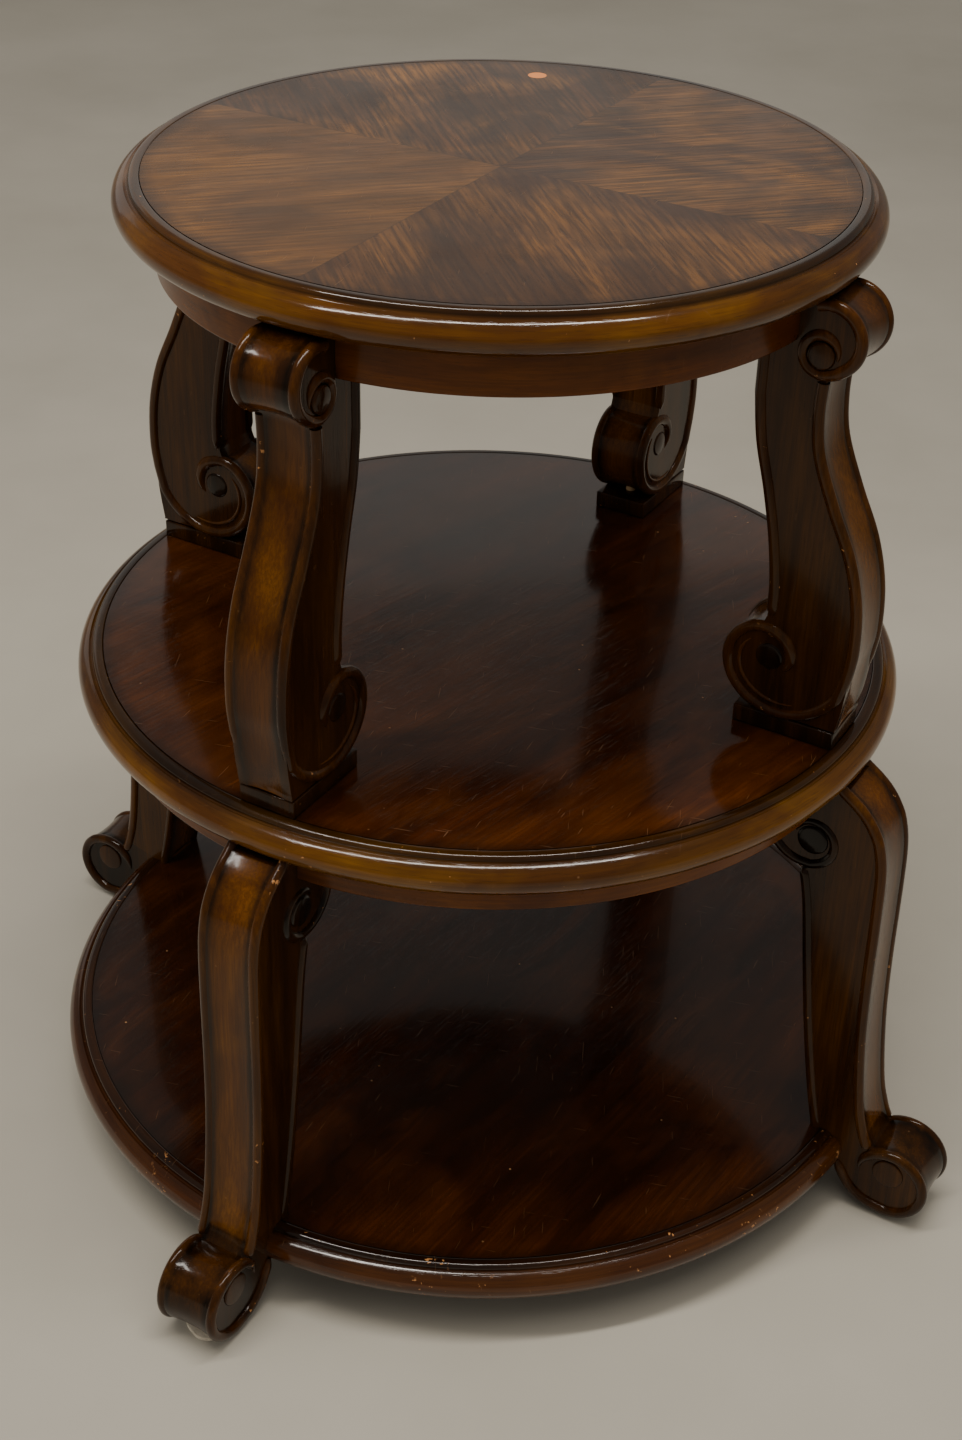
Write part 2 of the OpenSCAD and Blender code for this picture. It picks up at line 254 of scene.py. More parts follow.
woods = {
    "topVeneer": {
        "grain": quarteredGrain, "dark": (32, 18, 8), "base": (76, 46, 19), "light": (136, 90, 34),
        "hollow": (14, 7, 2), "glaze": 0.9, "reach": 0.004, "lines": 0.75, "pores": 0.55,
        "mottle": 0.60, "gloss": 0.20, "scratches": 0.4, "specks": 0.0, "chips": 0.0, "bump": 0.14,
        "ior": 1.34, "coat": 0.10},
    "shelfVeneer": {
        "grain": slantGrain(33), "dark": (32, 11, 1), "base": (62, 27, 4), "light": (96, 50, 10),
        "hollow": (10, 4, 1), "glaze": 0.9, "reach": 0.004, "lines": 0.40, "pores": 0.35,
        "mottle": 0.60, "gloss": 0.12, "scratches": 0.6, "specks": 0.8, "chips": 0.0, "bump": 0.12,
        "ior": 1.47, "coat": 0.25},
    "lowShelfVeneer": {
        "grain": slantGrain(40), "dark": (24, 8, 1), "base": (50, 20, 3), "light": (84, 42, 9),
        "hollow": (8, 3, 1), "glaze": 0.9, "reach": 0.004, "lines": 0.45, "pores": 0.35,
        "mottle": 0.55, "gloss": 0.13, "scratches": 0.4, "specks": 1.0, "chips": 0.0, "bump": 0.13,
        "ior": 1.52, "coat": 0.35},
    "rimWood": {
        "grain": ringGrain, "dark": (54, 26, 2), "base": (98, 56, 4), "light": (128, 84, 8),
        "hollow": (12, 5, 1), "glaze": 1.0, "reach": 0.006, "lines": 0.30, "pores": 0.30,
        "mottle": 0.75, "gloss": 0.12, "scratches": 0.2, "specks": 0.2, "chips": 0.30, "bump": 0.12,
        "ior": 1.42, "coat": 0.25},
    "lowRimWood": {
        "grain": ringGrain, "dark": (44, 19, 3), "base": (78, 40, 9), "light": (100, 58, 16),
        "hollow": (12, 5, 2), "glaze": 1.0, "reach": 0.006, "lines": 0.34, "pores": 0.30,
        "mottle": 0.60, "gloss": 0.12, "scratches": 0.4, "specks": 0.4, "chips": 0.40, "bump": 0.16,
        "ior": 1.42, "coat": 0.25},
    "apronWood": {
        "grain": ringGrain, "dark": (66, 30, 1), "base": (112, 56, 2), "light": (140, 80, 5),
        "hollow": (14, 6, 1), "glaze": 0.7, "reach": 0.02, "lines": 0.40, "pores": 0.40,
        "mottle": 0.60, "gloss": 0.22, "scratches": 0.1, "specks": 0.1, "chips": 0.1, "bump": 0.16,
        "ior": 1.30, "coat": 0.08},
    "legWood": {
        "grain": uprightGrain, "dark": (52, 25, 4), "base": (99, 56, 8), "light": (124, 78, 12),
        "hollow": (12, 5, 1), "glaze": 1.0, "reach": 0.009, "lines": 0.45, "pores": 0.30,
        "mottle": 0.4, "gloss": 0.13, "scratches": 0.15, "specks": 0.12, "chips": 0.34,
        "bump": 0.14, "ior": 1.30, "coat": 0.12},
}
markTints = {  # colours of what shows through the lacquer or lies in it, and of the painted sheen and painted shade on the top's wedges
    "bareWood": (172, 120, 72), "scuff": (150, 112, 76), "speck": (170, 128, 84),
    "leftSheen": (142, 96, 42), "frontShade": (56, 34, 18), "seam": (28, 16, 8),
    "topEdge": (26, 14, 7), "shelfEdge": (18, 8, 3), "bareSpot": (206, 122, 52),
}
fields = {  # how far each board's open face reaches, and the shade along its edge, in metres
    "topVeneer": 0.237, "shelfVeneer": 0.285, "lowShelfVeneer": 0.318, "shadeWidth": 0.012,
    "spotAt": (0.077, 0.1885, 0), "spotSize": 0.0070, "seamWidth": (0.0002, 0.0006),
}


def lacqueredWood(name):
    look = woods[name]
    material = bpy.data.materials.new(name)
    material.use_nodes = True
    tree = material.node_tree
    shader = tree.nodes["Principled BSDF"]
    link = tree.links.new
    place = addNode(tree, "ShaderNodeTexCoord").outputs["Object"]
    grain = useGroup(tree, grainGroup, {"Grain Space": look["grain"](tree, place)})
    hollow = useGroup(tree, hollowShadeGroup, {"Reach": look["reach"], "Sharpness": 1.3})["Hollow"]
    use = useGroup(tree, signsGroup, {"Place": place})

    tone = ramp(tree, grain["Streaks"], 0.30, 0.70)
    body = blendColour(tree, tone, colour(*look["dark"]), colour(*look["base"]))
    golden = calc(tree, "MULTIPLY", ramp(tree, grain["Mottle"], 0.42, 0.72), look["mottle"])
    body = blendColour(tree, golden, body, colour(*look["light"]))
    fibre = calc(tree, "MULTIPLY", ramp(tree, grain["Fibre"], 0.40, 0.62, 1.0, 0.0), look["lines"])
    body = blendColour(tree, fibre, body, colour(*look["dark"]))
    body = blendColour(tree, calc(tree, "MULTIPLY", grain["Pores"], look["pores"]), body,
                       colour(*look["hollow"]))

    if name == "topVeneer":
        body = topDetails(tree, place, body)
    if name in ("shelfVeneer", "lowShelfVeneer"):
        shade = calc(tree, "MULTIPLY", edgeShade(tree, place, fields[name]), 0.8)
        body = blendColour(tree, shade, body, colour(*markTints["shelfEdge"]))

    # painted shade in the hollows, standing also for the dark glaze left there, and glaze painted
    # along the beads of the legs; the painted attribute also holds painted shade on the plinths
    painted = addNode(tree, "ShaderNodeAttribute", attribute_name="glaze").outputs["Fac"]
    brushed = ramp(tree, grain["Streaks"], 0.30, 0.70, 1.20, 0.75)
    shade = calc(tree, "MAXIMUM", calc(tree, "MULTIPLY", hollow, look["glaze"]),
                 calc(tree, "MULTIPLY", painted, brushed), clamp=True)
    body = blendColour(tree, shade, body, colour(*look["hollow"]))

    if look["chips"]:
        chips = useGroup(tree, chipGroup, {"Place": place, "Amount": look["chips"]})["Bare"]
        crown = addNode(tree, "ShaderNodeAttribute", attribute_name="crown").outputs["Fac"]
        body = blendColour(tree, calc(tree, "MULTIPLY", chips, crown), body,
                           colour(*markTints["bareWood"]))
    scuffs = calc(tree, "MULTIPLY", use["Scratches"], look["scratches"])
    body = blendColour(tree, calc(tree, "MULTIPLY", scuffs, 0.35), body,
                       colour(*markTints["scuff"]))
    specks = calc(tree, "MULTIPLY", use["Specks"], look["specks"])
    body = blendColour(tree, specks, body, colour(*markTints["speck"]))
    link(body, shader.inputs["Base Color"])

    haze = ramp(tree, use["Haze"], 0.3, 0.7, look["gloss"] * 0.75, look["gloss"] * 1.5)
    rough = calc(tree, "ADD", haze, calc(tree, "MULTIPLY", scuffs, 0.2))
    link(calc(tree, "ADD", rough, calc(tree, "MULTIPLY", specks, 0.3), clamp=True),
         shader.inputs["Roughness"])
    shader.inputs["IOR"].default_value = look["ior"]
    shader.inputs["Coat Weight"].default_value = look["coat"]
    shader.inputs["Coat Roughness"].default_value = 0.07

    relief = calc(tree, "ADD", calc(tree, "MULTIPLY", grain["Fibre"], 0.5),
                  calc(tree, "MULTIPLY", grain["Streaks"], 0.5))
    relief = calc(tree, "SUBTRACT", relief, calc(tree, "MULTIPLY", grain["Pores"], 0.35))
    relief = calc(tree, "SUBTRACT", relief, calc(tree, "MULTIPLY", scuffs, 0.5))
    addBump(tree, shader, relief, look["bump"], 0.0006)
    return material


def edgeShade(tree, place, radius):
    # a soft dark line along a board's round edge, of uneven width
    width = fields["shadeWidth"]
    rough = stretched(tree, place, (26, 26, 26), 4, 0.6)
    wander = calc(tree, "MULTIPLY", calc(tree, "SUBTRACT", rough, 0.5), width)
    out = calc(tree, "ADD", fromAxis(tree, place), wander)
    return ramp(tree, out, radius - width, radius)


def topDetails(tree, place, body):
    # each wedge of veneer takes the light its own way
    x, y, sizes, sideWedge = wedges(tree, place)
    leftWedge = calc(tree, "MULTIPLY", sideWedge, calc(tree, "LESS_THAN", x, 0.0))
    frontWedge = calc(tree, "MULTIPLY", calc(tree, "SUBTRACT", 1.0, sideWedge),
                      calc(tree, "LESS_THAN", y, 0.0))
    toSeam = calc(tree, "ABSOLUTE", calc(tree, "SUBTRACT", *sizes))
    seam = ramp(tree, toSeam, *fields["seamWidth"], 0.7, 0.0)
    edge = edgeShade(tree, place, fields["topVeneer"])
    # a small round bare place near the back edge
    away = addNode(tree, "ShaderNodeVectorMath", {0: place, 1: fields["spotAt"]},
                   operation="SUBTRACT").outputs[0]
    size = fields["spotSize"]
    spot = ramp(tree, fromAxis(tree, away), size - 0.0004, size, 1.0, 0.0)
    for share, mark in ((calc(tree, "MULTIPLY", leftWedge, 0.10), "leftSheen"),
                        (calc(tree, "MULTIPLY", frontWedge, 0.22), "frontShade"),
                        (seam, "seam"),
                        (calc(tree, "MULTIPLY", edge, 0.75), "topEdge"),
                        (spot, "bareSpot")):
        body = blendColour(tree, share, body, colour(*markTints[mark]))
    return body


finishes = {name: lacqueredWood(name) for name in woods}
print("lacquered woods built:", len(finishes))


# bare wood, metal and felt

def plainMaterial(name, rough, metal=0.0):
    material = bpy.data.materials.new(name)
    material.use_nodes = True
    tree = material.node_tree
    shader = tree.nodes["Principled BSDF"]
    shader.inputs["Roughness"].default_value = rough
    shader.inputs["Metallic"].default_value = metal
    place = addNode(tree, "ShaderNodeTexCoord").outputs["Object"]
    return material, tree, shader, place


def rawWood(name, pale, deep):
    material, tree, shader, place = plainMaterial(name, 0.75)
    grain = useGroup(tree, grainGroup, {"Grain Space": place})
    body = blendColour(tree, ramp(tree, grain["Streaks"], 0.3, 0.7), colour(*deep), colour(*pale))
    body = blendColour(tree, calc(tree, "MULTIPLY", grain["Pores"], 0.4), body, colour(*deep))
    # painted shade in the hollows and under other parts of the bare wood
    hollow = useGroup(tree, hollowShadeGroup, {"Reach": 0.01, "Sharpness": 1.2})["Hollow"]
    body = blendColour(tree, calc(tree, "MULTIPLY", hollow, 0.5), body, colour(60, 40, 24))
    tree.links.new(body, shader.inputs["Base Color"])
    addBump(tree, shader, grain["Fibre"], 0.4, 0.0008)
    return material


def platedSteel(name, bright, dull):
    material, tree, shader, place = plainMaterial(name, 0.3, 1.0)
    cloud = stretched(tree, place, (160, 160, 160), 5, 0.65)
    body = blendColour(tree, ramp(tree, cloud, 0.35, 0.7), colour(*bright), colour(*dull))
    tree.links.new(body, shader.inputs["Base Color"])
    tree.links.new(ramp(tree, cloud, 0.3, 0.7, 0.24, 0.5), shader.inputs["Roughness"])
    addBump(tree, shader, cloud, 0.15, 0.0003)
    return material


def pressedFelt(name):
    material, tree, shader, place = plainMaterial(name, 0.95)
    tufts = stretched(tree, place, (700, 700, 700), 6, 0.7, 0.8)
    dirt = stretched(tree, place, (60, 60, 60), 4, 0.6)
    body = blendColour(tree, ramp(tree, tufts, 0.3, 0.7),
                       colour(196, 184, 160), colour(232, 224, 206))
    body = blendColour(tree, calc(tree, "MULTIPLY", ramp(tree, dirt, 0.5, 0.75), 0.45), body,
                       colour(134, 118, 96))
    tree.links.new(body, shader.inputs["Base Color"])
    shader.inputs["Sheen Weight"].default_value = 0.4
    addBump(tree, shader, tufts, 0.7, 0.0008)
    return material


finishes["blockWood"] = rawWood("blockWood", (206, 168, 118), (158, 116, 72))
finishes["dowelWood"] = rawWood("dowelWood", (222, 192, 146), (188, 150, 104))
finishes["zincSteel"] = platedSteel("zincSteel", (186, 188, 192), (128, 130, 136))
finishes["yellowZinc"] = platedSteel("yellowZinc", (206, 176, 104), (150, 122, 66))
finishes["felt"] = pressedFelt("felt")


# drawing helpers: outlines are (outwards, up) in a leg's own plane

def smoothCurve(points, steps=6):
    curve = []
    for i in range(len(points) - 1):
        p0, p1 = points[max(i - 1, 0)], points[i]
        p2, p3 = points[i + 1], points[min(i + 2, len(points) - 1)]
        for k in range(steps):
            t = k / steps
            curve.append(tuple(
                0.5 * (2 * b + (c - a) * t + (2 * a - 5 * b + 4 * c - d) * t * t
                       + (3 * b - a - 3 * c + d) * t ** 3)
                for a, b, c, d in zip(p0, p1, p2, p3)))
    curve.append(tuple(points[-1]))
    return curve


def scroll(centre, startRadius, endRadius, startAngle, endAngle, count):
    arc = []
    for i in range(count + 1):
        t = i / count
        angle = math.radians(startAngle + (endAngle - startAngle) * t)
        radius = startRadius * (endRadius / startRadius) ** t
        arc.append((centre[0] + radius * math.cos(angle),
                    centre[1] + radius * math.sin(angle)))
    return arc


def curl(centre, turns):
    # turns: (angle, radius, bead radius) steps about a centre
    path = []
    for angle, radius, bead in turns:
        a = math.radians(angle)
        path.append((centre[0] + radius * math.cos(a), centre[1] + radius * math.sin(a), bead))
    return path


def beside(low, high, steps):
    # points beside the line from low to high: (share of the way, distance outwards)
    return [(low[0] + (high[0] - low[0]) * share + out, low[1] + (high[1] - low[1]) * share)
            for share, out in steps]


def insetLine(line, distance):
    # moves an open line sideways, to the left of its direction
    moved = []
    for i, point in enumerate(line):
        before, after = line[max(i - 1, 0)], line[min(i + 1, len(line) - 1)]
        run = Vector((after[0] - before[0], after[1] - before[1])).normalized()
        moved.append((point[0] - run.y * distance, point[1] + run.x * distance))
    return moved


def evenly(path, spacing):
    # the same path in equal steps; any further values are carried along
    lengths = [0.0]
    for a, b in zip(path, path[1:]):
        lengths.append(lengths[-1] + math.hypot(b[0] - a[0], b[1] - a[1]))
    count = max(2, round(lengths[-1] / spacing))
    result, i = [], 0
    for k in range(count + 1):
        want = lengths[-1] * k / count
        while i < len(path) - 2 and lengths[i + 1] < want:
            i += 1
        span = max(lengths[i + 1] - lengths[i], 1e-9)
        t = min(max((want - lengths[i]) / span, 0.0), 1.0)
        result.append(tuple(a + (b - a) * t for a, b in zip(path[i], path[i + 1])))
    return result


# mesh helpers

def startMesh():
    bm = bmesh.new()
    bm.verts.layers.float.new("glaze")
    bm.verts.layers.float.new("crown")
    return bm


def setLayer(bm, verts, label, value):
    layer = bm.verts.layers.float[label]
    for v in verts:
        v[layer] = value


def finishPiece(bm, name, material, replaced, sharp=38):
    bmesh.ops.scale(bm, vec=(mm, mm, mm), verts=bm.verts)
    mesh = bpy.data.meshes.new(name)
    bm.to_mesh(mesh)
    bm.free()
    mesh.materials.append(material)
    mesh.shade_smooth()
    mesh.set_sharp_from_angle(angle=math.radians(sharp))
    piece = bpy.data.objects.new(name, mesh)
    bpy.context.scene.collection.objects.link(piece)
    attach(piece, "root")
    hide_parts(*replaced)


def turned(bm, degrees):
    # a copy of the mesh turned about the table's axis
    copy = bm.copy()
    bmesh.ops.rotate(copy, cent=(0, 0, 0), matrix=Matrix.Rotation(math.radians(degrees), 3, "Z"),
                     verts=copy.verts)
    return copy


beadSet = {"sides": 14, "spacing": 2.2, "lift": 0.92}


def sweepBead(bm, path, y, dark=0.30):
    # a round bead along (outwards, up, radius) points, in the plane at y
    path = evenly(path, beadSet["spacing"])
    before = set(bm.verts)
    ring = None
    last = None
    for i, (x, z, radius) in enumerate(path):
        a, b = path[max(i - 1, 0)], path[min(i + 1, len(path) - 1)]
        run = Vector((b[0] - a[0], 0, b[1] - a[1])).normalized()
        side = Vector((0, 1, 0))
        out = side.cross(run)
        axes = (out * radius, side * radius * beadSet["lift"], run * radius)
        stand = Matrix(axes).transposed().to_4x4()
        stand.translation = (x, y, z)
        if ring is None:
            verts = bmesh.ops.create_circle(bm, cap_ends=True, segments=beadSet["sides"],
                                            radius=1.0)["verts"]
            ring = list({e for v in verts for e in v.link_edges})
            bmesh.ops.transform(bm, matrix=stand, verts=verts)
        else:
            grown = bmesh.ops.extrude_edge_only(bm, edges=ring)["geom"]
            verts = [g for g in grown if isinstance(g, bmesh.types.BMVert)]
            ring = [g for g in grown if isinstance(g, bmesh.types.BMEdge)]
            bmesh.ops.transform(bm, matrix=stand @ last.inverted(), verts=verts)
        last = stand
    bmesh.ops.edgeloop_fill(bm, edges=ring)
    glaze, crown = bm.verts.layers.float["glaze"], bm.verts.layers.float["crown"]
    for v in bm.verts:
        if v not in before:
            v[crown] = 1.0
            v[glaze] = dark


def roundButton(bm, centre, radius, low, high, soft=2.6, dome=0.8, dark=0.5):
    # a raised round from y = low to y = high, where its soft-edged face is
    made = bmesh.ops.create_cone(bm, cap_ends=True, segments=40, radius1=radius, radius2=radius,
                                 depth=abs(high - low))
    verts = made["verts"]
    setLayer(bm, verts, "glaze", dark)
    facing = 1 if high > low else -1
    bmesh.ops.rotate(bm, cent=(0, 0, 0), matrix=Matrix.Rotation(-facing * math.pi / 2, 3, "X"),
                     verts=verts)
    bmesh.ops.translate(bm, vec=(centre[0], (low + high) / 2, centre[1]), verts=verts)
    rim = [e for e in {e for v in verts for e in v.link_edges}
           if all(abs(v.co.y - high) < 0.01 for v in e.verts)]
    bmesh.ops.bevel(bm, geom=rim, offset=soft, offset_type="OFFSET", affect="EDGES",
                    segments=6, profile=0.5, material=-1)
    face = max((f for f in bm.faces if abs(f.calc_center_median().y - high) < 0.02
                and len(f.verts) >= 30 and (f.calc_center_median().xz - Vector(centre)).length < 1),
               key=lambda f: f.calc_area())
    bmesh.ops.inset_region(bm, faces=[face], thickness=radius * 0.35, depth=dome * 0.6)
    bmesh.ops.inset_region(bm, faces=[face], thickness=radius * 0.2, depth=dome * 0.2)


# the carved leg: a body with sunk faces, and beads laid along its edges

carving = {
    "bead": 4.2,        # radius of the edge beads
    "sunkSide": 2.6,    # how far the sides lie below the beads
    "sunkFront": 1.7,   # how far the front lies below them
    "hollow": 1.1,      # extra depth in the middle of the front
}


def legBody(bm, outline, width, darker=None):
    # outline runs anticlockwise seen from -y; the band across the leg sinks between its beads
    half = width / 2
    place = bm.verts.layers.int.new("step")
    glaze = bm.verts.layers.float["glaze"]
    count = len(outline)
    normals = []
    for i in range(count):
        a, b, c = outline[i - 1], outline[i], outline[(i + 1) % count]
        n = Vector((0.0, 0.0))
        for p, q in ((a, b), (b, c)):
            run = Vector((q[0] - p[0], q[1] - p[1]))
            if run.length > 1e-6:
                n += Vector((-run.y, run.x)).normalized()
        normals.append(n.normalized())
    sideAt = half - carving["sunkSide"]
    groove = half - 2 * carving["bead"]
    deep = carving["sunkFront"] + carving["hollow"]
    stations = [(-sideAt, carving["sunkFront"], 0.62), (-groove, carving["sunkFront"], 0.80),
                (-groove * 0.8, carving["sunkFront"] + 0.5, 0.34),
                (-groove * 0.45, deep - 0.15, 0.05), (0, deep, 0.0)]
    stations += [(-y, inset, dark) for y, inset, dark in reversed(stations[:-1])]
    verts = []
    for i, (x, z) in enumerate(outline):
        inset = stations[0][1]
        v = bm.verts.new((x + normals[i].x * inset, stations[0][0], z + normals[i].y * inset))
        v[place] = i
        v[glaze] = stations[0][2]
        verts.append(v)
    extra = [darker(*p) if darker else 0.0 for p in outline]
    first = bm.faces.new(verts)
    edges = list(first.edges)
    for y, inset, dark in stations[1:]:
        grown = bmesh.ops.extrude_edge_only(bm, edges=edges)["geom"]
        for v in (g for g in grown if isinstance(g, bmesh.types.BMVert)):
            i = v[place]
            v.co = (outline[i][0] + normals[i].x * inset, y,
                    outline[i][1] + normals[i].y * inset)
            v[glaze] = min(dark + extra[i] * (1 - dark), 1.0)
        edges = [g for g in grown if isinstance(g, bmesh.types.BMEdge)]
    bmesh.ops.edgeloop_fill(bm, edges=edges)


def bothSides(bm, path, width, bead=None, dark=0.42):
    y = width / 2 - (bead or carving["bead"]) * beadSet["lift"]
    for side in (-1, 1):
        sweepBead(bm, path, side * y, dark)


def withBead(line, radius=None, taper=0):
    # the line with a bead radius, thinner over its last points
    radius = radius or carving["bead"]
    path = []
    for i, p in enumerate(line):
        left = len(line) - 1 - i
        share = 0.45 + 0.55 * left / taper if left < taper else 1.0
        path.append((p[0], p[1], radius * share))
    return path


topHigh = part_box("top_rim")[0].z / mm          # underside of the top
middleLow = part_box("middle_rim")[0].z / mm     # underside of the middle shelf
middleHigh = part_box("middle_rim")[1].z / mm
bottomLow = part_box("bottom_rim")[0].z / mm
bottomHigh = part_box("bottom_rim")[1].z / mm
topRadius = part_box("top_rim")[1].x / mm
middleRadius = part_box("middle_rim")[1].x / mm
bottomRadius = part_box("bottom_rim")[1].x / mm
apronRadius = topRadius - 26                   # outer face of the aprons
railRadius = middleRadius - 20                 # outer face of the rails

plinth = {"back": middleRadius - 93, "front": middleRadius - 17, "high": 13, "width": 43,
          "soft": 1.0}

upperLeg = {
    "width": 47, "rollWidth": 49,
    "rollEye": (apronRadius + 15.5, topHigh - 39.5),
    "rollCentre": (apronRadius + 18.5, topHigh - 28.0), "rollRadius": 26.5,
    "volute": (middleRadius - 71, middleHigh + 58),
    "voluteRadii": (59, 26.6), "voluteAngles": (-15, -253), "baseAngle": -94, "eye": 10.4,
    "back": apronRadius - 26.5,
    "frontEdge": [(0, 60), (0.1, 61.3), (0.25, 57.3), (0.4, 46.7), (0.55, 29.3), (0.7, 14.1),
                  (0.82, 9), (0.92, 8.4)],
    "backEdge": [(0.85, -40.2), (0.7, -34.2), (0.55, -23.9), (0.4, -15.1), (0.25, -9),
                 (0.14, -7.6)],
    "button": 9.6, "buttonRoot": 15,
}


def buildUpperLeg():
    leg = upperLeg
    bm = startMesh()
    volute, eye = leg["volute"], leg["rollEye"]
    frontEdge = smoothCurve(beside(volute, eye, leg["frontEdge"]))
    backEdge = smoothCurve(beside(volute, eye, leg["backEdge"]))
    outer, inner = leg["voluteRadii"]
    a0, a1 = leg["voluteAngles"]
    base = leg["baseAngle"]
    atBase = outer * (inner / outer) ** ((base - a0) / (a1 - a0))
    spiral = scroll(volute, inner, atBase, a1 + 360, base + 360, 44)
    toe = (plinth["front"], middleHigh + plinth["high"])
    front = smoothCurve([toe, (toe[0] + 3.6, toe[1] + 22)] + beside(volute, eye, leg["frontEdge"]))
    rollArc = scroll(leg["rollCentre"], leg["rollRadius"], leg["rollRadius"], -76, 84, 28)
    outline = ([(leg["back"], topHigh), (leg["back"], eye[1] - 6)] + backEdge + spiral
               + front + rollArc + [(leg["rollCentre"][0], topHigh)])
    legBody(bm, outline, leg["width"], lambda x, z: 0.35 if x > eye[0] and z > eye[1] else 0.0)

    bead = carving["bead"]
    # front bead: down the front, round the scroll and into its eye
    down = insetLine(list(reversed(frontEdge)), -bead)
    around = scroll(volute, outer - bead, inner - bead, a0, a1, 60)[1:]
    path = withBead(down + around)
    path += smoothCurve(curl(volute, [
        (-270, 20.8, 4.5), (-295, 18.9, 4.9), (-320, 17.2, 5.0), (-345, 15.8, 4.6),
        (-368, 14.8, 3.6), (-388, 14.0, 2.3), (-404, 13.4, 0.9)]))
    bothSides(bm, path, leg["width"], dark=0.5)
    # thin second bead along the bottom of the scroll
    line = scroll(volute, (outer - 10.2) * 0.80, inner - 9.6, -58, -215, 40)
    ends = len(line) - 1
    thin = [(x, z, 1.5 * (0.35 + 0.65 * min(1, i / 8, (ends - i) / 8)))
            for i, (x, z) in enumerate(line)]
    for side in (-1, 1):
        sweepBead(bm, thin, side * (leg["width"] / 2 - carving["sunkSide"] - 0.1))
    # back bead, dying on the top of the scroll
    backLine = [(leg["back"], topHigh + 2), (leg["back"], eye[1] - 6)] + backEdge
    bothSides(bm, withBead(insetLine(backLine, bead), taper=2), leg["width"], dark=0.6)
    # bead round the roll and its button
    centre = leg["rollCentre"]
    ring = [(p[0], p[1], bead) for p in scroll(centre, 22.3, 22.3, 112, -52, 24)]
    ring += smoothCurve(curl(eye, [
        (-44, 14.9, 4.1), (-66, 13.3, 3.8), (-92, 12.6, 3.6), (-130, 12.4, 3.5),
        (-170, 12.6, 3.5), (-210, 13.0, 3.6), (-245, 13.5, 3.7), (-275, 13.6, 3.6),
        (-305, 13.0, 3.1), (-330, 12.1, 2.3), (-352, 11.4, 1.4), (-368, 10.9, 0.7)]))
    bothSides(bm, ring, leg["rollWidth"])
    root = leg["buttonRoot"]
    for side in (-1, 1):
        roundButton(bm, volute, leg["eye"], side * root, side * (leg["width"] / 2 - 1.6),
                    dark=0.85)
        roundButton(bm, eye, leg["button"], side * root, side * (leg["rollWidth"] / 2 - 1.0),
                    dark=0.7)
    bmesh.ops.recalc_face_normals(bm, faces=bm.faces)
    return bm


lowerLeg = {
    "width": 48, "footWidth": 50,
    "ear": (middleRadius - 23, middleLow - 49.5), "disc": 11.8, "discRoot": 15,
    "earCentre": (middleRadius - 27, middleLow - 41.5), "earRadius": 33,
    "foot": (bottomRadius + 38, 45), "footDisc": 12.3,
    "footCentre": (bottomRadius + 37.5, 34.5), "footRadius": 31.5,
    "shoulder": [(-2, 0), (8, -7), (16, -14.5), (23, -24), (29, -37)],
    "frontEdge": [(0.96, 52.4), (0.8, 38.6), (0.6, 20.4), (0.4, 3.8), (0.2, -9.2), (0.1, -11.8),
                  (0.06, -10.5)],
    "backEdge": [(0.05, -61.5), (0.2, -55.7), (0.4, -45.6), (0.6, -33.8), (0.8, -21.5),
                 (0.9, -17.5)],
    "ledge": bottomRadius - 8,
    "dimFoot": (345, 70),  # darker outwards of the first and below the second
}


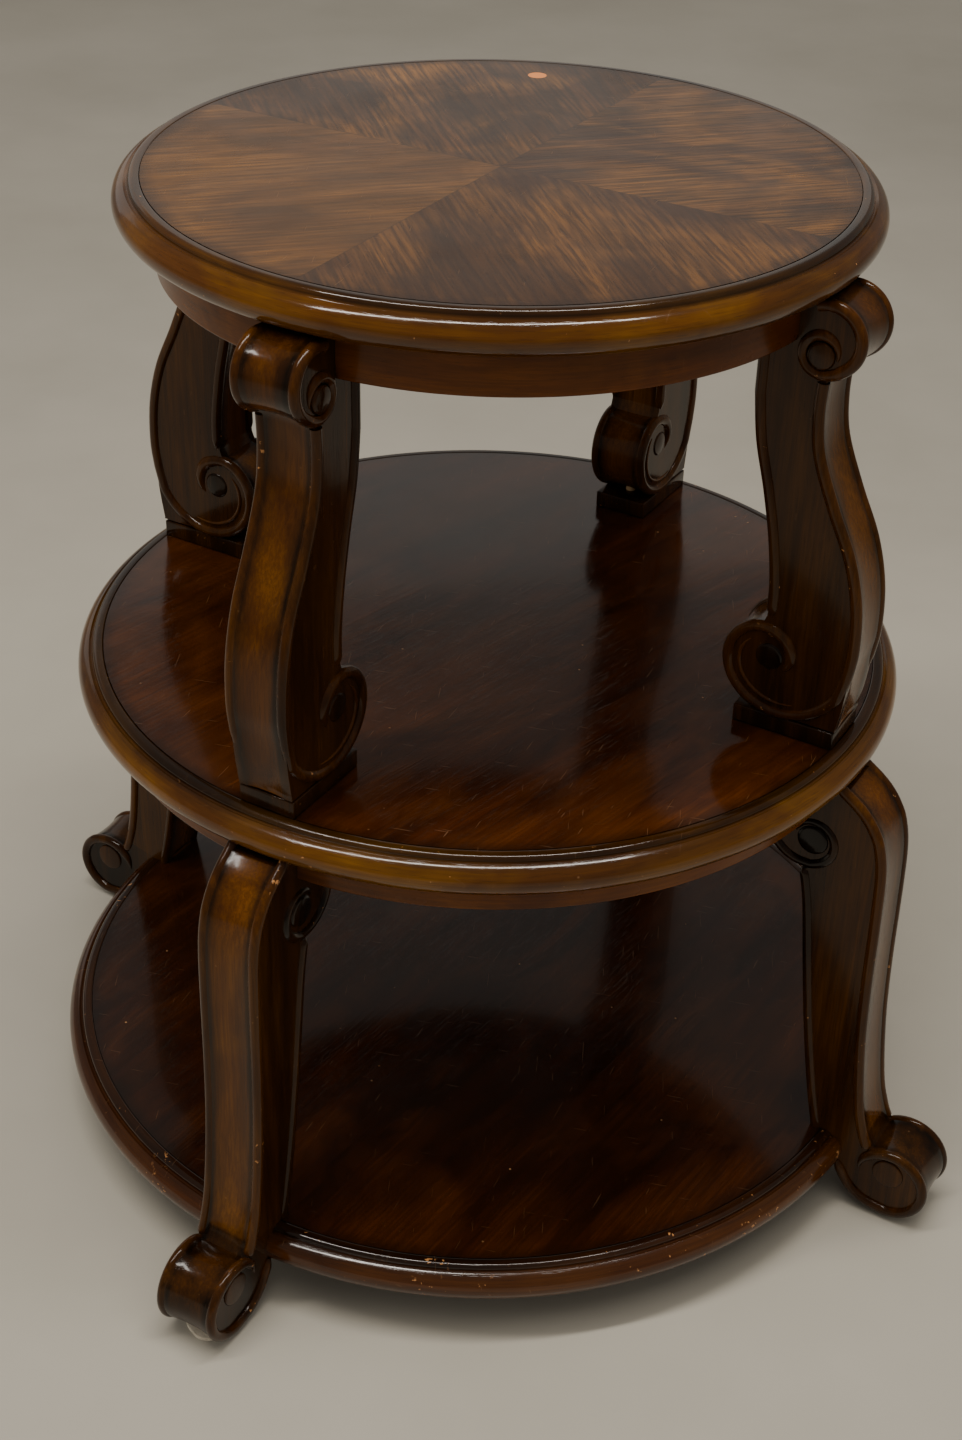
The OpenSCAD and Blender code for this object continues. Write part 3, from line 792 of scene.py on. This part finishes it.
def buildLowerLeg():
    leg = lowerLeg
    bm = startMesh()
    foot, ear, centre = leg["foot"], leg["ear"], leg["footCentre"]
    bead = carving["bead"]
    shoulder = [(middleRadius + x, middleLow + z) for x, z in leg["shoulder"]]
    frontEdge = smoothCurve(shoulder + beside(foot, ear, leg["frontEdge"]))
    backEdge = smoothCurve(beside(foot, ear, leg["backEdge"]))
    footArc = scroll(centre, leg["footRadius"], leg["footRadius"], 112, -90, 40)
    sole = smoothCurve([(centre[0], 3), (centre[0] - 20, 6.5), (centre[0] - 34, 17),
                        (leg["ledge"], bottomLow)])
    earArc = scroll(leg["earCentre"], leg["earRadius"], leg["earRadius"], -85, -205, 24)
    outline = (frontEdge + footArc + sole[1:]
               + [(foot[0] - 66, bottomLow), (foot[0] - 66, bottomHigh)]
               + backEdge + earArc + [(leg["earCentre"][0] - 30, middleLow)])
    dimOut, dimHigh = leg["dimFoot"]
    legBody(bm, list(reversed(outline)), leg["width"],
            lambda x, z: 0.72 if z < dimHigh and x > dimOut else 0.0)

    # front bead from under the shelf to the neck
    down = insetLine(frontEdge, -bead)
    down = [(down[0][0] - 5, down[0][1] + 4)] + down
    bothSides(bm, withBead(down, taper=2), leg["width"])
    # foot: a bead that starts beside the eye, rolls over and returns along the sole
    start = smoothCurve(curl(centre, [
        (168, 24.5, 0.8), (155, 25.6, 2.2), (140, 26.6, 3.6), (122, 27.3, bead)]))
    over = [(p[0], p[1], bead) for p in scroll(centre, 27.3, 27.3, 118, -90, 44)]
    back = insetLine(sole, -bead)[1:]
    bothSides(bm, start + over + withBead(back, taper=2), leg["footWidth"], dark=0.68)
    # back bead with a small stop on the shelf
    backLine = insetLine(backEdge, -bead)
    backLine = [(backLine[0][0] + 0.3, backLine[0][1] - 12)] + backLine
    bothSides(bm, withBead(backLine, radius=3.9, taper=1), leg["width"], dark=0.7)
    # ear: from under the shelf, round the disc
    tail = [(p[0], p[1], 3.9) for p in scroll(leg["earCentre"], 29, 29, -222, -98, 24)]
    tail += smoothCurve(curl(ear, [
        (-88, 20.9, 3.9), (-62, 19.0, 3.9), (-32, 17.3, 3.8), (0, 16.1, 3.7), (32, 15.4, 3.5),
        (64, 15.1, 3.3), (95, 14.9, 3.0), (124, 14.5, 2.5), (150, 13.8, 1.7), (172, 13.0, 0.8)]))
    bothSides(bm, tail, leg["width"], 3.9, dark=0.85)
    root = leg["discRoot"]
    for side in (-1, 1):
        roundButton(bm, ear, leg["disc"], side * root, side * (leg["width"] / 2 - 0.9), dark=0.95)
        roundButton(bm, (foot[0] - 1.5, foot[1] - 1), leg["footDisc"], side * root,
                    side * (leg["footWidth"] / 2 - 2.2), soft=1.4, dome=0.4, dark=0.6)
    bmesh.ops.recalc_face_normals(bm, faces=bm.faces)
    return bm


def camelName(*words):
    text = "_".join(words).split("_")
    return text[0] + "".join(w.capitalize() for w in text[1:])


for label, build in (("upper_leg", buildUpperLeg), ("lower_leg", buildLowerLeg)):
    master = build()
    for corner, azimuth in corners.items():
        finishPiece(turned(master, azimuth), camelName(label, corner),
                    finishes["legWood"], [f"{label}_{corner}"])
    master.free()
    print("carved:", label)


# saddle blocks and felt pads

def buildPlinth():
    bm = startMesh()
    made = bmesh.ops.create_cube(bm, size=1.0)
    near, far = plinth["back"], plinth["front"] - carving["sunkFront"]
    bmesh.ops.scale(bm, vec=(far - near, plinth["width"], plinth["high"]), verts=made["verts"])
    bmesh.ops.translate(bm, vec=((near + far) / 2, 0, middleHigh + plinth["high"] / 2),
                        verts=made["verts"])
    bmesh.ops.bevel(bm, geom=bm.edges, offset=plinth["soft"], affect="EDGES", segments=3,
                    profile=0.5, material=-1)
    # painted shade: the block sits under the scroll, so it is painted dark
    setLayer(bm, bm.verts, "glaze", 0.78)
    setLayer(bm, bm.verts, "crown", 0.3)
    return bm


pad = {"out": bottomRadius + 37.5, "radius": 18.6, "thick": 3.0, "drift": 1.2, "soft": 0.8}


def buildPad():
    bm = startMesh()
    made = bmesh.ops.create_cone(bm, cap_ends=True, segments=48, radius1=pad["radius"],
                                 radius2=pad["radius"], depth=pad["thick"])
    for v in made["verts"]:
        a = math.atan2(v.co.y, v.co.x)
        wave = 0.6 * math.sin(2 * a + 0.7) + 0.4 * math.sin(5 * a)
        grow = 1 + pad["drift"] / pad["radius"] * wave
        v.co.x *= grow
        v.co.y *= grow
    edges = [e for e in bm.edges if e.calc_face_angle(0) > 1.0]
    bmesh.ops.bevel(bm, geom=edges, offset=pad["soft"], affect="EDGES", segments=3,
                    profile=0.5, material=-1)
    bmesh.ops.translate(bm, vec=(pad["out"], 0, pad["thick"] / 2), verts=bm.verts)
    return bm


for label, build, finish, slot in (("plinth", buildPlinth, "legWood", "carved_wood"),
                                   ("foot_pad", buildPad, "felt", "felt")):
    master = build()
    for corner, azimuth in corners.items():
        finishPiece(turned(master, azimuth), camelName(label, corner), finishes[finish],
                    [f"{label}_{corner}"])
    master.free()
print("blocks and pads shaped")


# moulded rims

rimSet = {"width": 19, "joint": 0.15, "bead": 3.5, "strip": 4.5, "nose": 12, "steps": 256}


def buildRim(node):
    low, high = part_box(node)
    radius, bottom, top = high.x / mm, low.z / mm, high.z / mm
    field, nose = radius - rimSet["width"], rimSet["nose"]
    beadAt = field + rimSet["strip"]
    bead = rimSet["bead"]
    outline = [(field + rimSet["joint"], bottom), (field + rimSet["joint"], top - 0.5),
               (field + 0.5, top - 0.1), (field + 1.2, top)]
    outline += scroll((beadAt, top - bead), bead, bead, 90, 4, 8)
    quirk = top - bead
    outline += [(beadAt + bead + 0.1, quirk - 0.9), (beadAt + bead + 0.7, quirk - 1.5),
                (beadAt + bead + 1.5, quirk - 1.3)]
    outline += scroll((radius - nose, bottom + nose), nose, nose, 72, -90, 22)
    bm = startMesh()
    glaze, crown = bm.verts.layers.float["glaze"], bm.verts.layers.float["crown"]
    verts = []
    for x, z in outline:
        v = bm.verts.new((x, 0, z))
        depth = top - z
        shoulder = max(0.0, 1 - (depth - 4.5) / 8)
        v[glaze] = 0.82 if x < radius - nose + 1 and depth < 5.4 else 0.55 * shoulder
        v[crown] = 1.0 if x > radius - 3 or (depth < 0.6 and x > field + 3) else 0.15
        verts.append(v)
    edges = [bm.edges.new((verts[i - 1], verts[i])) for i in range(len(verts))]
    bmesh.ops.spin(bm, geom=verts + edges, cent=(0, 0, 0), axis=(0, 0, 1), angle=math.tau,
                   steps=rimSet["steps"], use_merge=True)
    bmesh.ops.remove_doubles(bm, verts=bm.verts, dist=0.001)
    bmesh.ops.recalc_face_normals(bm, faces=bm.faces)
    return bm


for tier in ("top", "middle", "bottom"):
    wood = finishes["lowRimWood" if tier == "bottom" else "rimWood"]
    finishPiece(buildRim(f"{tier}_rim"), f"{tier}Rim", wood, [f"{tier}_rim"], sharp=50)
print("rims turned")


# aprons and rails: one band per quarter, each end so many degrees short of the leg's middle

bands = {
    "apron": {"face": apronRadius, "thick": 20, "high": 33, "top": topHigh, "soft": 1.6,
              "end": 5.3},
    "rail": {"face": railRadius, "thick": 18, "high": 22, "top": middleLow, "soft": 1.6,
             "end": 4.2},
}


def buildBand(band):
    bm = startMesh()
    outer, inner = band["face"], band["face"] - band["thick"]
    low, high = band["top"] - band["high"], band["top"]
    soft = band["soft"]
    outline = [(inner, high), (inner, low + soft)]
    outline += scroll((inner + soft, low + soft), soft, soft, 180, 270, 4)[1:]
    outline += scroll((outer - soft, low + soft), soft, soft, -90, 0, 4)
    outline += [(outer, high)]
    verts = [bm.verts.new((x, 0, z)) for x, z in outline]
    layer = bm.verts.layers.float["glaze"]
    for v in verts:
        v[layer] = 0.35 if v.co.z > high - 1 else 0.0
    face = bm.faces.new(verts)
    start = Matrix.Rotation(math.radians(band["end"] - 45), 3, "Z")
    bmesh.ops.rotate(bm, cent=(0, 0, 0), matrix=start, verts=verts)
    bmesh.ops.spin(bm, geom=[face] + list(face.edges) + verts, cent=(0, 0, 0), axis=(0, 0, 1),
                   angle=math.radians(90 - 2 * band["end"]), steps=72)
    bmesh.ops.recalc_face_normals(bm, faces=bm.faces)
    return bm


for label, band in bands.items():
    master = buildBand(band)
    for side, azimuth in sides.items():
        finishPiece(turned(master, azimuth), camelName(label, side),
                    finishes["apronWood"], [f"{label}_{side}"])
    master.free()
print("aprons and rails bent")


# finishes of the pieces that keep their drawn shape

kept = {
    "top_panel": "topVeneer", "middle_panel": "shelfVeneer", "bottom_panel": "lowShelfVeneer",
    "hanger_bolts": "zincSteel", "block_washers": "zincSteel", "block_nuts": "zincSteel",
    "leg_rods": "zincSteel", "pad_nails": "zincSteel", "block_screws": "yellowZinc",
    "apron_dowels": "dowelWood", "rail_dowels": "dowelWood", "plinth_dowels": "dowelWood",
    "shelf_dowels": "dowelWood",
}
kept.update({f"corner_block_{corner}": "blockWood" for corner in corners})
for node, finish in kept.items():
    nodes[node].data.materials.clear()
    nodes[node].data.materials.append(finishes[finish])


# floor, light and camera

stage = {
    "floorSize": 60.0, "floorDark": (158, 153, 141), "floorPale": (172, 167, 155),
    "lampTint": (1.0, 0.945, 0.87), "roomTint": (0.88, 0.83, 0.76, 1),
    "roomOpen": 0.5, "roomMirrored": 0.2,  # the room's own light, and its reflection
}


def buildFloor():
    bm = bmesh.new()
    bmesh.ops.create_grid(bm, x_segments=1, y_segments=1, size=stage["floorSize"])
    mesh = bpy.data.meshes.new("floor")
    bm.to_mesh(mesh)
    bm.free()
    floor = bpy.data.objects.new("floor", mesh)
    bpy.context.scene.collection.objects.link(floor)
    material, tree, shader, place = plainMaterial("floorPaint", 0.6)
    shade = stretched(tree, place, (1.6, 1.6, 1.6), 5, 0.6)
    paint = blendColour(tree, ramp(tree, shade, 0.3, 0.7),
                        colour(*stage["floorDark"]), colour(*stage["floorPale"]))
    tree.links.new(paint, shader.inputs["Base Color"])
    mesh.materials.append(material)


lamps = {  # "mirrored": whether the lamp shows in the lacquer
    "strip": {"place": (-0.45, -0.3, 2.5), "aim": (-0.45, 0.1, 0.5), "size": (2.4, 0.16),
              "power": 46, "mirrored": True},
    "ceiling": {"place": (0.2, -0.9, 3.0), "aim": (0, 0, 0.4), "size": (2.6, 2.0),
                "power": 34, "mirrored": False},
    "leftDoor": {"place": (-2.6, 0.2, 1.3), "aim": (0, 0, 0.5), "size": (2.4, 1.6),
                 "power": 15, "mirrored": False},
    "backWall": {"place": (0.2, 3.4, 1.5), "aim": (0, 0, 0.5), "size": (4.5, 1.5),
                 "power": 7, "mirrored": True},
}


def buildLights():
    for name, lamp in lamps.items():
        data = bpy.data.lights.new(name, "AREA")
        data.shape = "RECTANGLE"
        data.size, data.size_y = lamp["size"]
        data.energy = lamp["power"]
        data.color = stage["lampTint"]
        light = bpy.data.objects.new(name, data)
        light.location = lamp["place"]
        light.visible_glossy = lamp["mirrored"]
        light.visible_camera = False
        aim = Vector(lamp["aim"]) - Vector(lamp["place"])
        light.rotation_euler = aim.to_track_quat("-Z", "Y").to_euler()
        bpy.context.scene.collection.objects.link(light)
    world = bpy.data.worlds.new("softRoom")
    world.use_nodes = True
    sky = world.node_tree.nodes["Background"]
    sky.inputs["Color"].default_value = stage["roomTint"]
    ray = addNode(world.node_tree, "ShaderNodeLightPath").outputs["Is Glossy Ray"]
    strength = ramp(world.node_tree, ray, 0.0, 1.0, stage["roomOpen"], stage["roomMirrored"])
    world.node_tree.links.new(strength, sky.inputs["Strength"])
    bpy.context.scene.world = world


view = {"place": (-0.3649, -1.3356, 1.2169), "turn": (56.765, -1.2557, -14.3026),
        "lens": 54.075}


def buildCamera():
    data = bpy.data.cameras.new("camera")
    data.lens = view["lens"]
    data.sensor_width = 36
    data.sensor_fit = "AUTO"
    data.clip_start = 0.05
    camera = bpy.data.objects.new("camera", data)
    camera.location = view["place"]
    camera.rotation_euler = [math.radians(a) for a in view["turn"]]
    bpy.context.scene.collection.objects.link(camera)
    bpy.context.scene.camera = camera


buildFloor()
buildLights()
buildCamera()
print("stage set")
